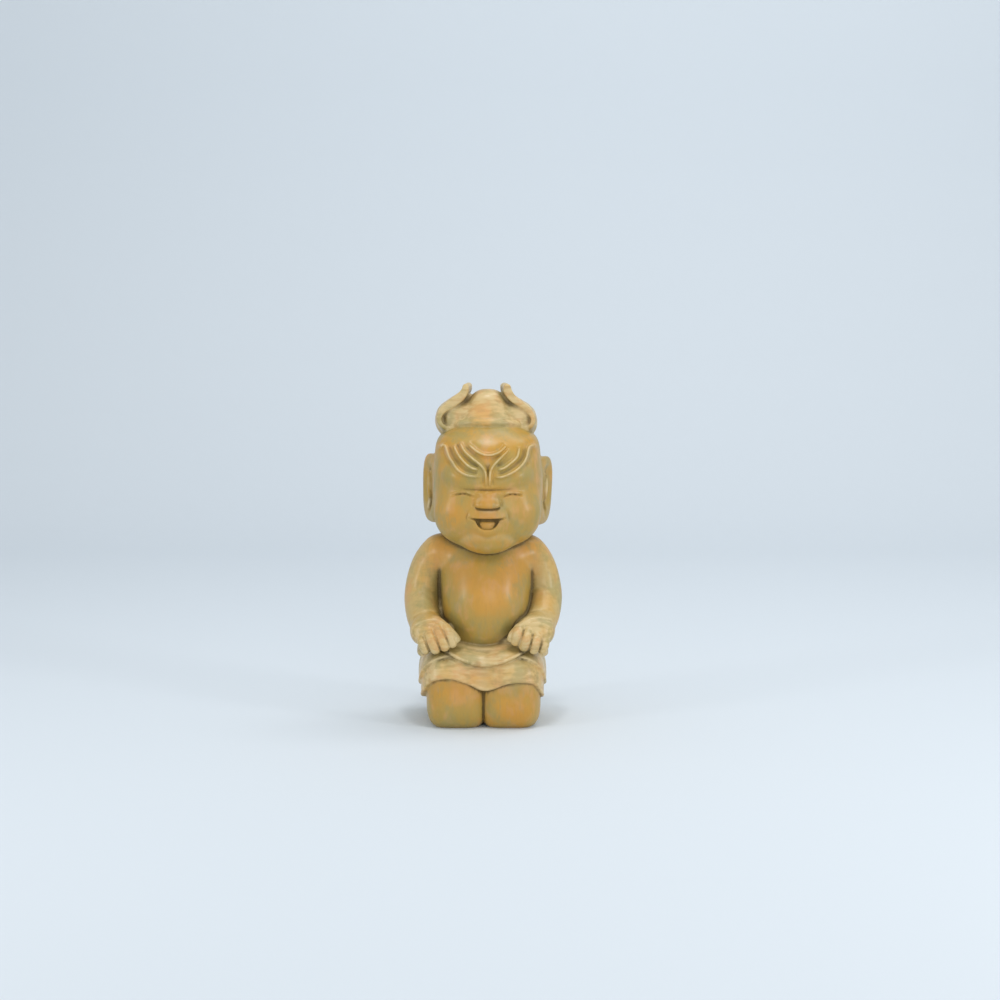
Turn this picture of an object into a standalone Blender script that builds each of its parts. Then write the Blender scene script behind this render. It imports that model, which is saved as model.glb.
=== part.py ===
"""A kneeling nio guardian figure, modelled in the round and cast in one piece.

It is built as a modeller works clay. Eggs, limbs and ribbons are laid together, a Remesh modifier makes
one skin of them, and the skin is then settled on the soft blend of the forms, with the hems of the cloth
and the furrows of the face raised or cut along drawn lines.

Inside the figure every length is a millimetre of a figure 236 mm tall, so it is a share of its height.
The figure faces -Y and stands on Z = 0, and its origin is under the middle of its bounding box.
"""

import math
from collections import namedtuple

import bmesh
import bpy
import numpy as np
from mathutils import Euler, Matrix, Vector

for old in list(bpy.data.objects):
    bpy.data.objects.remove(old)

# Driving dimensions, in metres
FIGURE_HEIGHT = 0.236
ROUGH_CELL = 0.0014  # size of the cells that the skin is first made of
EVEN_CELL = 0.0011  # and of those it is remade in
SKIN_CELL = 0.0008  # and of the last and finest

# Shares of the height: the figure is drawn at this height, in millimetres
DRAWN_HEIGHT = 236.0
UNIT = FIGURE_HEIGHT / DRAWN_HEIGHT
SKIN_TRIANGLES = 9600

# The lines on the front are drawn as seen from a little above, in the plane of the face
VIEW_SLOPE = math.tan(math.radians(6))
FACE_PLANE = -40.0

# The cloth
OVERSKIRT_THICKNESS = 1.6
APRON_THICKNESS = 1.9
HEM_ROUNDING = 1.2

# How the skin is settled: the farthest that a form's distance is worked out, the step that feels the slope
# of the distance, the longest move of a point, and the distance that is close enough
CLOSE = 14.0
FEELER = 0.05
LONGEST_STEP = 2.5
CLOSE_ENOUGH = 0.01

OCHRE = (0.52, 0.36, 0.15, 1.0)

Form = namedtuple("Form", "gap shell blend low high")


def soft_min(a, b, reach):
    """The lesser of two distances, rounded off where they differ by less than reach."""
    near = np.clip(reach - np.abs(a - b), 0, None)
    return np.minimum(a, b) - near * near / (4 * reach)


def ramp(value, start, end):
    """0 before start and 1 after end, with an even slope that eases in and out."""
    t = np.clip((value - start) / (end - start), 0, 1)
    return t * t * (3 - 2 * t)


def smooth_path(points, steps=6):
    """Points along one smooth curve through the given ones."""
    given = np.array(points, float)
    ends = np.vstack([2 * given[0] - given[1], given, 2 * given[-1] - given[-2]])
    made = []
    for a, b, c, d in zip(ends, ends[1:], ends[2:], ends[3:]):
        for t in np.arange(steps) / steps:
            made.append(0.5 * (2 * b + (c - a) * t + (2 * a - 5 * b + 4 * c - d) * t**2
                               + (3 * b - a - 3 * c + d) * t**3))
    made.append(given[-1])
    return np.array(made)


def path_gap(points, path):
    """Distance from each point to a line of straight runs, and how far along it, from 0 to 1."""
    best = np.full(len(points), np.inf)
    along = np.zeros(len(points))
    runs = len(path) - 1
    for i in range(runs):
        run = path[i + 1] - path[i]
        t = np.clip((points - path[i]) @ run / (run @ run), 0, 1)
        gap = np.linalg.norm(points - path[i] - t[:, None] * run, axis=1)
        closer = gap < best
        best = np.where(closer, gap, best)
        along = np.where(closer, (i + t) / runs, along)
    return best, along


def hull_of_balls(clay, balls):
    """Adds the hull round some balls, each a centre and a radius, to a bmesh."""
    lump = bmesh.new()
    for centre, radius in balls:
        bmesh.ops.create_icosphere(lump, subdivisions=2, radius=radius, matrix=Matrix.Translation(centre))
    hull = bmesh.ops.convex_hull(lump, input=lump.verts)
    bmesh.ops.delete(lump, geom=hull["geom_interior"] + hull["geom_unused"], context="VERTS")
    mesh = bpy.data.meshes.new("hull")
    lump.to_mesh(mesh)
    lump.free()
    clay.from_mesh(mesh)
    bpy.data.meshes.remove(mesh)


def egg(centre, radii, turn=(0, 0, 0), square=2.0, depth_square=None, blend=4.0):
    """A rounded form. A square above 2 makes it fuller at its corners, from the front or along its depth."""
    spin = np.array(Euler([math.radians(angle) for angle in turn]).to_matrix())
    middle, radii = np.array(centre, float), np.array(radii, float)
    deep = depth_square or square

    def sizes(share):
        """How far out a point is as a share of the form's surface, across and in all."""
        across = (share[:, 0] ** square + share[:, 2] ** square) ** (1 / square)
        return across, (across**deep + share[:, 1] ** deep) ** (1 / deep)

    def gap(points):
        share = np.abs((points - middle) @ spin) / radii + 1e-9
        across, size = sizes(share)
        slope = (share / across[:, None]) ** (square - 1) / radii * ((across / size) ** (deep - 1))[:, None]
        slope[:, 1] = (share[:, 1] / size) ** (deep - 1) / radii[1]
        return (size - 1) / np.linalg.norm(slope, axis=1)

    def shell(clay):
        made = bmesh.ops.create_icosphere(clay, subdivisions=4, radius=1)
        ball = np.array([vert.co for vert in made["verts"]])
        placed = ball / sizes(np.abs(ball) + 1e-9)[1][:, None] * radii @ spin.T + middle
        for vert, place in zip(made["verts"], placed):
            vert.co = place

    reach = radii.max() * 1.3
    return Form(gap, shell, blend, middle - reach, middle + reach)


def limb(joints, blend=4.0):
    """A round limb along a smooth line through its joints, each (x, y, z, radius)."""
    line = smooth_path(joints, 4)
    places, radii = line[:, :3], line[:, 3]

    def gap(points):
        near, along = path_gap(points, places)
        return near - np.interp(along, np.linspace(0, 1, len(radii)), radii)

    def shell(clay):
        for a, b in zip(line, line[1:]):
            hull_of_balls(clay, [(Vector(a[:3]), a[3]), (Vector(b[:3]), b[3])])

    return Form(gap, shell, blend, places.min(0) - radii.max(), places.max(0) + radii.max())


def pressed(points, forms):
    """Distance from the skin over forms pressed together, each blended as it says."""
    skin = forms[0].gap(points)
    for form in forms[1:]:
        skin = soft_min(skin, form.gap(points), form.blend)
    return skin


def as_seen(points):
    """Where points lie in the plane of the face, (x, height), as seen from a little above the front."""
    return np.stack([points[:, 0], points[:, 2] + (points[:, 1] - FACE_PLANE) * VIEW_SLOPE], 1)


def drawn(points, path, width, height, fade=0.12):
    """What a line on the front raises, or cuts where height is below 0, with a soft hollow beside it."""
    line = smooth_path(path)
    seen = as_seen(points)
    reach = 4 * width
    near = ((seen > line.min(0) - reach) & (seen < line.max(0) + reach)).all(1)
    raised = np.zeros(len(points))
    if near.any():
        gap, along = path_gap(seen[near], line)
        ends = np.clip(np.minimum(along, 1 - along) / fade, 0, 1)
        crest = 1.3 * np.exp(-((gap / width) ** 2)) - 0.5 * np.exp(-((gap / (2.3 * width)) ** 2))
        raised[near] = height * crest * ends
    return raised


# The knees, shins and feet
# The figure kneels: the knees come forward as two full blocks with a groove between them, and the shins and
# bare feet lie folded back under the seat.
KNEES = [
    egg((-18.0, -19.5, 21.5), (21.4, 23.5, 24), square=3.7, depth_square=3),
    egg((18.4, -19.5, 21.5), (21.4, 23.5, 24), square=3.7, depth_square=3, blend=0.4),
]
SHINS = [
    egg((-20, 12, 10), (18, 34, 12), square=2.8, blend=3),
    egg((19, 12, 10), (18, 34, 12), square=2.8, blend=3),
]
FEET = [limb([(side * (9 + 5.2 * i), 38, 5.5, 4.2),
              (side * (8.5 + 5.4 * i), 46.5 - 1.1 * i, 3.6, 3.3 - 0.25 * i)], blend=1)
        for side in (-1, 1) for i in range(4)]
LEGS = KNEES + SHINS + FEET


def leg_gap(points):
    return pressed(points, LEGS)


# The cloth
# A short skirt of three layers is wrapped round the hips and tied behind in a thick roll. It is part of the
# casting: the skirt, an over-skirt that opens in front and a crescent-shaped apron, each with a rolled hem
# that the modeller cut crisply.
DRAPE = [
    egg((-20.8, -9.5, 27), (22.6, 35, 28), square=2.8, depth_square=3.2),
    egg((19.4, -9.5, 27), (22.8, 35, 28), square=2.8, depth_square=3.2, blend=13),
    egg((-1, -7, 33.4), (30, 32, 19.4), square=2.5, blend=6),
    egg((-1, 15, 33), (42, 26, 25), square=2.4, blend=8),
]
HEM_CENTRE = (0.0, -5.0)
HEM_ANGLES = [-180, -140, -100, -75, -57, -50, -43, -33, -26, -14, -7, 0.5, 9.5, 20.6, 31, 43, 50, 60, 75,
              100, 140, 180]
HEM_HEIGHTS = [17.5, 18, 19.5, 21, 25.6, 30.1, 33.9, 35.3, 34.6, 31.2, 28.4, 27, 27.7, 31.2, 32.6, 31.9,
               27.7, 22.8, 20.5, 19.5, 18, 17.5]
OVERSKIRT_ANGLES = [-180, -110, -80, -65, -57, -50, -42, -33, -26, 0, 26, 33, 42, 50, 57, 65, 80, 110, 180]
OVERSKIRT_HEIGHTS = [28, 28, 29.5, 34, 39.5, 44.6, 48.6, 50.6, 51.2, 51.4, 51, 50.2, 48.4, 44.6, 39.5, 34,
                     29.5, 28, 28]
APRON_BOWL = ((1.5, -26.0, 80.4), 39.6)
APRON_FOLD = [(-13, 55.8), (-8, 54.2), (3.6, 53.2), (12, 54.6), (17, 57)]
SKIRT_FOLD = [(-19, 42), (-8, 38.4), (1, 37.2), (10, 38.4), (20, 42)]
WAIST_ROLL = limb([(-29, -26, 50, 2.2), (-41, -15, 48.6, 2.6), (-43.6, -4, 48.4, 3.0), (-40.5, 15, 51, 4.2),
                   (-25, 29, 53.5, 4.8), (-1, 36, 54, 4.9), (23, 29, 53.5, 4.8), (38.5, 15, 51, 4.2),
                   (42.6, -4, 48.2, 3.0), (40, -15, 48.6, 2.6), (28, -26, 50, 2.2)], blend=1.5)


def layer(skin, above, lip):
    """A layer of cloth outside a skin, kept above its hem, with a rolled and rounded edge."""
    roll = lip * np.exp(-(((above - HEM_ROUNDING) / HEM_ROUNDING) ** 2))
    return -soft_min(roll - skin, above, HEM_ROUNDING)


def above_hem(points, angles, heights):
    """How far each point is above a hem whose height changes with its bearing from the front."""
    bearing = np.degrees(np.arctan2(points[:, 0] - HEM_CENTRE[0], HEM_CENTRE[1] - points[:, 1]))
    hem = smooth_path(list(zip(angles, heights)))
    return as_seen(points)[:, 1] - np.interp(bearing, hem[:, 0], hem[:, 1])


def cloth_gap(points):
    skin = pressed(points, DRAPE)
    folds = drawn(points, APRON_FOLD, 1.6, -0.45) + drawn(points, SKIRT_FOLD, 2.2, -0.7)
    skirt = layer(skin - folds, above_hem(points, HEM_ANGLES, HEM_HEIGHTS), 0.5)
    above = above_hem(points, OVERSKIRT_ANGLES, OVERSKIRT_HEIGHTS)
    overskirt = layer(skin - OVERSKIRT_THICKNESS, above, 0.3)
    inside_bowl = APRON_BOWL[1] - np.linalg.norm(points - APRON_BOWL[0], axis=1)
    apron = layer(skin - folds - OVERSKIRT_THICKNESS - APRON_THICKNESS, inside_bowl, 0.4)
    return soft_min(soft_min(skirt, overskirt, 0.5), apron, 0.5)


# The trunk and arms
# A round bare belly and chest with sloping shoulders. The arms hang at the sides and bring the hands forward
# onto the thighs. They are joined to the trunk all the way down, with a deep crease, because a thin arm
# standing free would break off in the kiln.
MIDLINE = 3.0
TRUNK_FORMS = [
    egg((MIDLINE - 1.2, -3.5, 82), (31.0, 31.5, 35), square=2.15),
    egg((MIDLINE - 1, 0, 107), (31.5, 24, 24), blend=12),
    egg((1, 3, 119), (38, 17, 13.5), blend=10),
    egg((MIDLINE, 0, 128), (22, 20, 14), blend=6),
    egg((1.5, 11, 90), (32, 17, 34), blend=10),
    egg((0, 4, 60), (34, 28, 16), blend=8),
    limb([(-30, 12, 108, 8), (-31, 11.5, 88, 9), (-31, 5, 68, 9)], blend=2),
    limb([(31.5, 12, 108, 8), (32, 11.5, 88, 9), (32, 5, 68, 9)], blend=2),
]
SPINE = [(0.5, 26, 120), (0.5, 29, 108), (0.5, 29, 92), (0.5, 28.5, 76), (0.5, 31, 62)]
ARMS = [
    limb([(-31, 4, 116, 12.5), (-36.5, 5, 110, 12.8), (-41, 5, 99, 12.6), (-43, 2, 86, 12.6),
          (-42.2, -9, 76, 11.8), (-39.2, -21, 68, 11)], blend=5),
    limb([(31.5, 4, 115, 12.3), (37, 5, 109, 12.6), (41, 5, 98.5, 12.4), (42.6, 2, 86, 12.6),
          (41.6, -9, 76, 11.8), (38.2, -21, 68, 11)], blend=5),
]
ARM_CREASES = [
    ([(-45, 93), (-40, 95.6), (-35, 94.5), (-31, 92)], 1.2, -0.5),
    ([(46, 95), (41, 97.6), (36, 96), (32, 93)], 1.2, -0.5),
    ([(-50, 75), (-44, 79), (-37, 80.6), (-30, 79)], 1.1, -0.6),
    ([(-49, 69.5), (-42, 73.3), (-35, 74.8), (-28.5, 73.5)], 1.0, -0.5),
    ([(50, 78), (44, 80.4), (37, 81), (31.5, 79.5)], 1.1, -0.6),
    ([(49, 73.4), (43, 75.4), (37, 75.8), (31, 74.6)], 1.0, -0.5),
]

# The hands
# Each is a plump palm with four fingers bent over the thigh and a thumb beside the belly, on a solid bed of
# clay. The grooves between the fingers are cut with a tool after the fingers are pressed on.
LEFT_HAND = [
    egg((-35.5, -27, 65), (14, 9.5, 9.5), turn=(-25, 0, 0), square=2.3, blend=5),
    limb([(-42.6, -31, 64, 3.5), (-41.3, -36.8, 60, 3.7), (-39.5, -37.6, 55, 3.2)], blend=0.9),
    limb([(-37, -33.3, 67, 3.9), (-34.9, -38.9, 62, 3.9), (-32.6, -39.5, 55.8, 3.5)], blend=0.9),
    limb([(-31, -33.8, 68.5, 3.8), (-28.4, -39.2, 63.2, 3.8), (-26.2, -39.8, 57.6, 3.4)], blend=0.9),
    limb([(-25.6, -33.5, 69, 3.4), (-22.9, -38.4, 64.5, 3.4), (-21, -39.2, 59.6, 3.1)], blend=0.9),
    limb([(-32, -27, 73.6, 3.4), (-26, -32.6, 69.6, 3.3), (-21.2, -36, 65.8, 3.1),
          (-17.8, -37.4, 62.4, 2.5)], blend=1.6),
    limb([(-31, -2, 67, 8.5), (-31, -13, 65, 8.5), (-28, -24, 62, 7), (-26, -31, 58, 5)], blend=1),
]
RIGHT_HAND = [
    egg((35, -27, 65.5), (13.5, 9.5, 10.5), turn=(-25, 0, 0), square=2.3, blend=5),
    limb([(42.2, -32, 62.5, 3.5), (41.8, -36.6, 58.5, 3.6), (40.6, -36.8, 55, 3.2)], blend=0.9),
    limb([(36.8, -34, 64.5, 3.9), (35.9, -39.2, 60.5, 4.0), (34.7, -38.7, 55.8, 3.6)], blend=0.9),
    limb([(30.4, -34.8, 66.5, 3.8), (29.4, -40, 62.5, 4.0), (28, -39.3, 57.8, 3.6)], blend=0.9),
    limb([(24.8, -34.5, 69, 3.4), (23.5, -38.9, 65.5, 3.7), (22.2, -38.6, 61, 3.2)], blend=0.9),
    limb([(32, -28, 73, 3.2), (25.4, -33, 70, 3.0), (20.4, -36.2, 66, 2.6), (18.6, -37, 62.6, 2.2)],
         blend=1.4),
    limb([(32, -2, 64, 9), (31, -13, 62, 9), (25, -23, 61, 8), (28, -31, 58, 5)], blend=1),
    egg((17, -22, 59), (9, 6, 7), blend=1),
]
FINGER_GAPS = [
    [(-41.4, 65), (-39.4, 61), (-36.7, 54.5)],
    [(-35, 69), (-32.9, 64.5), (-29.2, 56)],
    [(-28.4, 70), (-26.2, 66), (-22.8, 58.3)],
    [(39.8, 64), (39.2, 59), (38, 52.5)],
    [(33.9, 67), (33, 60.5), (31.4, 53)],
    [(27.7, 70), (26.8, 64), (25.2, 56)],
]
BODY = TRUNK_FORMS + ARMS + LEFT_HAND + RIGHT_HAND


def close_to(points, forms, gap):
    """The distance that gap gives, worked out only near the forms, and taken as far elsewhere."""
    low = np.min([form.low for form in forms], axis=0) - CLOSE
    high = np.max([form.high for form in forms], axis=0) + CLOSE
    near = ((points > low) & (points < high)).all(1)
    far = np.full(len(points), CLOSE)
    if near.any():
        far[near] = np.minimum(gap(points[near]), CLOSE)
    return far


def body_gap(points):
    """The trunk and arms: smooth over the shoulder, with a sharp crease from the armpit down."""
    skin = pressed(points, TRUNK_FORMS)
    blend = 1.6 + 8.8 * ramp(points[:, 2], 102, 118)
    for arm, hand in zip(ARMS, (LEFT_HAND, RIGHT_HAND)):
        forms = [arm, *hand]
        sleeve = close_to(points, forms, lambda near, forms=forms: pressed(near, forms))
        skin = soft_min(skin, sleeve, blend)
    creases = sum(drawn(points, *crease) for crease in ARM_CREASES)
    creases = creases + sum(drawn(points, gap, 0.85, -0.4) for gap in FINGER_GAPS)
    spine = path_gap(points, smooth_path(SPINE))[0]
    return skin - creases * ramp(points[:, 1], 2, -6) + 1.3 * np.exp(-((spine / 4.5) ** 2))


# The head and face
# A broad, squarish skull with full cheeks, heavy knotted brows and a laughing mouth. The modeller pressed on
# the brows, nose and lips, drew the furrows as raised crests with a cleft between them, and cut the eyes as
# two thin slits.
HEAD_FORMS = [
    egg((MIDLINE, -1, 175.5), (36.8, 37.5, 29.7), square=4.6, depth_square=2.5),
    egg((MIDLINE, -3, 160), (36.8, 38.5, 39.5), square=2.7, depth_square=2.4, blend=6),
    egg((MIDLINE, -2, 178), (30, 30, 33.5), square=2.6, depth_square=2.5, blend=5),
    egg((MIDLINE - 18.5, -26, 147), (17.5, 14, 18), blend=9),
    egg((MIDLINE + 18.5, -26, 147), (17.5, 14, 18), blend=9),
    egg((MIDLINE, -33, 143), (16, 9, 12), blend=7),
    egg((MIDLINE, -28, 129), (16, 12, 9), blend=7),
    egg((MIDLINE - 15, -33.2, 174.4), (14.5, 7.4, 8.6), turn=(0, 0, -17), blend=5),
    egg((MIDLINE + 15, -33.2, 174.4), (14.5, 7.4, 8.6), turn=(0, 0, 17), blend=5),
    egg((MIDLINE, -38.4, 162), (6.4, 5.2, 4.8), blend=2.6),
    egg((MIDLINE, -39.4, 158.8), (5.2, 4.8, 4.4), blend=3),
    egg((MIDLINE + 0.2, -41.2, 155.4), (6.9, 5.0, 3.7), square=2.3, blend=2.6),
    egg((MIDLINE - 6.5, -40.0, 154.8), (2.6, 3.4, 2.6), blend=1.6),
    egg((MIDLINE + 6.8, -40.0, 154.8), (2.6, 3.4, 2.6), blend=1.6),
    limb([(MIDLINE - 10, -37.6, 147.2, 2.2), (MIDLINE, -41, 148.4, 3.3), (MIDLINE + 10, -37.6, 147.2, 2.2)],
         blend=3),
    limb([(MIDLINE - 10, -36.6, 143.8, 1.6), (MIDLINE - 7, -38.6, 139.4, 2.4), (MIDLINE, -39.8, 137, 2.8),
          (MIDLINE + 7, -38.6, 139.4, 2.4), (MIDLINE + 10, -36.6, 143.8, 1.6)], blend=3),
]
MOUTH_TOP = 145.3
MOUTH = egg((MIDLINE, -47, 145), (8.6, 13.5, 6.6), square=2.8, depth_square=3)
TONGUE = egg((MIDLINE, -36, 140.6), (7.6, 5.2, 4.2), square=2.8, depth_square=3, blend=0.4)
JAW_TAPER = 0.05
BROW_CRESTS = [
    [(-31, 194.6), (-28.6, 195.8), (-26.1, 196), (-23.4, 188.9), (-20.7, 184.2), (-16.7, 178.7),
     (-10.6, 175.3), (-1.8, 174)],
    [(-20, 196.6), (-17.3, 190.3), (-12.6, 184.2), (-7.9, 180.4), (-2.8, 178.9)],
    [(-15.9, 198.6), (-12.6, 191.9), (-6.5, 186.2), (-1.4, 182), (1.5, 178), (2.2, 172), (2.1, 167.4)],
    [(-10.5, 197), (-3.1, 191), (4, 189), (11.1, 191), (16.3, 196)],
    [(18.2, 193.4), (12, 187), (7.3, 182), (5.1, 177.7), (4.7, 172), (4.6, 167.4)],
    [(25, 195.1), (23.3, 187.9), (18.6, 183.3), (14.5, 180.3), (9.8, 178.9)],
    [(37, 195), (34.5, 196.2), (31.6, 194.6), (29.4, 186.9), (26, 181.8), (20.6, 177.4), (13.2, 174.2),
     (7.6, 174)],
]
BROW_CLEFT = [(3.4, 181), (3.4, 174), (3.4, 166.8)]
BROW_EDGE = [(-20, 167.6), (-9, 165.7), (3.4, 165.1), (15.8, 165.7), (27, 167.6)]
EYE_SLITS = [
    [(-22.5, 160.8), (-17.4, 162.2), (-12.6, 162.6), (-8.2, 161.3), (-4.7, 159.4)],
    [(27, 161.3), (25.4, 161.8), (19.3, 162.3), (15.2, 161.2), (11.8, 159.4)],
]
LID_RISE = 1.5
CHIN_FOLD = [(-5, 134.6), (3, 132.2), (11, 134.6)]
NOSE_BASE = [(-5.2, 153.8), (-3.2, 152.3), (3, 151.9), (9.6, 152.3), (11.6, 153.8)]
NOSE_SIDES = [
    [(-4.2, 160), (-6.0, 157.6), (-6.4, 155), (-4.9, 152.6)],
    [(10.4, 160), (12.2, 157.6), (12.6, 155), (11.1, 152.6)],
]
MOUTH_LINE = [(-9.9, 146.2), (-6.5, 145.3), (3, 145), (12.5, 145.3), (15.7, 146.2)]
SMILE_FOLDS = [
    [(-7.4, 153.5), (-10.3, 149.5), (-11.3, 145), (-10.2, 141)],
    [(14.2, 153.5), (17, 149.5), (17.8, 145), (16.8, 141)],
]


def face_relief(points):
    raised = drawn(points, BROW_CLEFT, 0.6, -0.3) + drawn(points, BROW_EDGE, 1.3, -1.0, fade=0.4)
    for crest in BROW_CRESTS:
        raised += drawn(points, crest, 1.25, 1.8, fade=0.06)
    for slit in EYE_SLITS:
        raised += drawn(points, [(x, height + LID_RISE) for x, height in slit], 0.8, 0.65, fade=0.3)
        raised += drawn(points, slit, 0.68, -0.75, fade=0.3)
    raised += drawn(points, NOSE_BASE, 0.85, -0.7)
    raised += drawn(points, MOUTH_LINE, 0.75, -1.1)
    raised += drawn(points, CHIN_FOLD, 1.8, -0.35, fade=0.4)
    for side in NOSE_SIDES:
        raised += drawn(points, side, 1.0, -0.45, fade=0.3)
    for fold in SMILE_FOLDS:
        raised += drawn(points, fold, 1.5, -0.7, fade=0.4)
    return raised * ramp(points[:, 1], -8, -20)


def mouth_gaps(points):
    """Distances from the hollow of the mouth and from the tongue, both narrower towards the jaw."""
    tapered = points.copy()
    narrower = 1 + JAW_TAPER * np.clip(MOUTH_TOP - points[:, 2], 0, 8)
    tapered[:, 0] = MIDLINE + (points[:, 0] - MIDLINE) * narrower
    return np.maximum(MOUTH.gap(tapered), points[:, 2] - MOUTH_TOP), TONGUE.gap(tapered)


def head_gap(points):
    skin = pressed(points, HEAD_FORMS) - face_relief(points)
    hollow, tongue = mouth_gaps(points)
    skin = -soft_min(-skin, hollow, 1.2)
    return soft_min(skin, tongue, TONGUE.blend)


# The ears
# Long flat plates that flare backwards, each with a rolled rim, a dished middle with an inner ridge, and a
# full lobe.
EAR_TURN = 20
EAR_GROOVES = [
    [(-39.5, 186), (-37.2, 181), (-36.2, 170), (-36, 158), (-37.6, 151), (-40, 147.5)],
    [(45.5, 183), (43.4, 178), (42.4, 168), (42.2, 156), (43.6, 148.5), (46, 145)],
]


def ear(side, middle, lean):
    turn = (0, lean, -side * EAR_TURN)
    plate = egg(middle, (4.0, 15.5, 24.0), turn=turn, square=3.2, blend=2)
    outward = np.array(Euler((0, 0, math.radians(turn[2]))).to_matrix()) @ np.array((side, 0, 0))
    dish = egg(np.array(middle) + outward * 6.4 + (0, 0, 3.5), (5.2, 10, 16), turn=turn, square=2.4)
    ridge = egg(np.array(middle) + outward * 1.6 + (0, -1, 2.5), (2.4, 3.4, 11), turn=turn, blend=1.5)
    return plate, dish, ridge


EARS = [ear(-1, (-35.4, 5, 162.4), 0), ear(1, (40.9, 5, 160.6), 3)]


def ear_gap(points, parts):
    plate, dish, ridge = parts
    dished = -soft_min(-plate.gap(points), dish.gap(points), 1.5)
    folded = soft_min(dished, ridge.gap(points), ridge.blend)
    grooves = sum(drawn(points, groove, 1.4, -1.2) for groove in EAR_GROOVES)
    return folded - grooves * ramp(points[:, 1], 8, 2)


# The topknot
# The hair is drawn up into a bun with a lobe at each side and tied with a roll at its foot. A stiff ribbon
# curls up beside each lobe, a band on edge with a groove along its outer face, and it widens towards the
# back.
BUN_FOOT = 205.2
BAND = [(MIDLINE + 23.5 * math.sin(a), 2 - 21.5 * math.cos(a), BUN_FOOT + 4.6 * max(math.cos(a), 0), 2.8)
        for a in np.radians(np.linspace(-180, 180, 17))]
TOPKNOT_FORMS = [
    egg((MIDLINE, 2, 202), (22.5, 20, 14.5), square=2.6),
    egg((MIDLINE, 2, 204), (16.2, 15, 27.8), square=2.6, blend=10),
    egg((MIDLINE - 19.5, 3, 210.8), (12.2, 11.8, 13), square=2.7, blend=3),
    egg((MIDLINE + 19.5, 3, 210.3), (12.4, 11.8, 13), square=2.7, blend=3),
    limb(BAND, blend=0.8),
    egg((16, 1.5, 226), (5, 6, 5), blend=1),
]
LEFT_CURL = [(-18.8, 204.4, 1.5), (-24.4, 204.8, 1.5), (-29.2, 208, 1.6), (-30.4, 212.8, 1.8),
             (-27.4, 218, 2.4), (-21.8, 222.2, 3.0), (-16.1, 226.4, 3.1), (-12.9, 230.6, 2.6), (-12.2, 233.6, 2.2)]
RIGHT_CURL = [(24, 204.4, 1.5), (29.2, 204.6, 1.5), (33.6, 207.4, 1.6), (34.4, 212, 1.7),
              (31.8, 217, 1.9), (27, 221, 2.1), (21.2, 225, 2.5), (17.5, 229.6, 2.9), (16.6, 233, 2.7)]
RIBBON_EDGE = 0.9
RIBBON_GROOVE = 0.7


def ribbon(path, front, back, flare, blend=2.0):
    """A band on edge. Its front edge follows (x, z, half thickness), and it widens as it runs back."""
    curl = smooth_path(path)
    line, halves = curl[:, :2], curl[:, 2]
    middle = line.mean(0)

    def widened(across, depth):
        """What the loop's width and its lower part grow by at a depth behind the front edge."""
        lower = ramp(middle[1] - across[:, 1], -2, 4)
        return np.stack([1 + flare[0] * depth, 1 + flare[1] * depth * lower], 1)

    def gap(points):
        depth = np.clip(points[:, 1] - front, 0, back - front)
        across = points[:, [0, 2]]
        flat = middle + (across - middle) / widened(across, depth)
        near, along = path_gap(flat, line)
        groove = RIBBON_GROOVE * np.exp(-(((points[:, 1] - (front + back) / 2) / 3.2) ** 2))
        side = near - np.interp(along, np.linspace(0, 1, len(halves)), halves) + RIBBON_EDGE + groove
        face = np.abs(points[:, 1] - (front + back) / 2) - (back - front) / 2 + RIBBON_EDGE
        outside = np.hypot(np.clip(side, 0, None), np.clip(face, 0, None))
        return outside + np.minimum(np.maximum(side, face), 0) - RIBBON_EDGE

    def shell(clay):
        depth = np.full(len(line), back - front)
        far = middle + (line - middle) * widened(line, depth)
        for i in range(len(line) - 1):
            hull_of_balls(clay, [(Vector((run[j][0], y, run[j][1])), halves[j])
                                 for run, y in ((line, front + halves[i]), (far, back - halves[i]))
                                 for j in (i, i + 1)])

    grown = (line - middle) * (1 + max(flare) * (back - front)) + middle
    reach = halves.max()
    low = np.array([grown[:, 0].min() - reach, front, grown[:, 1].min() - reach])
    high = np.array([grown[:, 0].max() + reach, back, grown[:, 1].max() + reach])
    return Form(gap, shell, blend, low, high)


RIBBONS = [ribbon(LEFT_CURL, -9, 14, (0.008, 0.021)), ribbon(RIGHT_CURL, -9, 14, (0.008, 0.021))]


# The casting
# All the forms are pressed into one skin of even cells, and the skin is settled on their soft blend. The
# foot of the casting is scraped flat, as it is before a figure is fired.
def figure_gap(points):
    """Distance from the whole figure's skin, below 0 inside it."""
    groups = [
        (HEAD_FORMS, head_gap, 1.0),
        (BODY, body_gap, 1.0),
        (DRAPE, cloth_gap, 1.0),
        (LEGS, leg_gap, 0.5),
        (TOPKNOT_FORMS, lambda near: pressed(near, TOPKNOT_FORMS), 0.8),
        ([WAIST_ROLL], WAIST_ROLL.gap, WAIST_ROLL.blend),
    ]
    groups += [([parts[0]], lambda near, parts=parts: ear_gap(near, parts), 2.0) for parts in EARS]
    groups += [([curl], curl.gap, curl.blend) for curl in RIBBONS]
    skin = np.full(len(points), CLOSE)
    for forms, gap, blend in groups:
        skin = soft_min(skin, close_to(points, forms, gap), blend)
    return skin


def remade(mesh, kind, **settings):
    """The mesh after one modifier."""
    thing = bpy.data.objects.new("rough", mesh)
    bpy.context.scene.collection.objects.link(thing)
    modifier = thing.modifiers.new(kind.title(), kind)
    for setting, value in settings.items():
        setattr(modifier, setting, value)
    graph = bpy.context.evaluated_depsgraph_get()
    made = bpy.data.meshes.new_from_object(thing.evaluated_get(graph))
    bpy.data.objects.remove(thing)
    return made


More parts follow.
